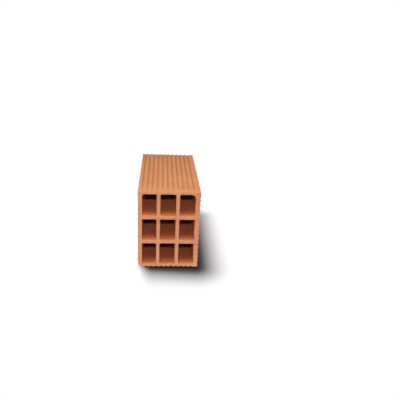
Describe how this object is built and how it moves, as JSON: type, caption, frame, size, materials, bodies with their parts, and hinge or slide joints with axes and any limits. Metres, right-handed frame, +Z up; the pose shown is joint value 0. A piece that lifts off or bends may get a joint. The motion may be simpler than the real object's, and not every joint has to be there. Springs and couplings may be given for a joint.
{
  "type": "hollow clay brick",
  "caption": "Hollow fired-clay brick with ribbed outer faces and a grid of rectangular cells running through its length.",
  "frame": {"origin": "centre of the base, at the level the ribs' crests rest on", "axes": "+Z up, +Y along the cells, +X across the width, to the right of someone who faces the front end at -Y"},
  "size_m": [0.14, 0.29, 0.19],
  "materials": {
    "fired_clay": "matte unglazed fired clay"
  },
  "bodies": {
    "root": {"hollow_brick": "fired_clay"}
  },
  "joints": []
}
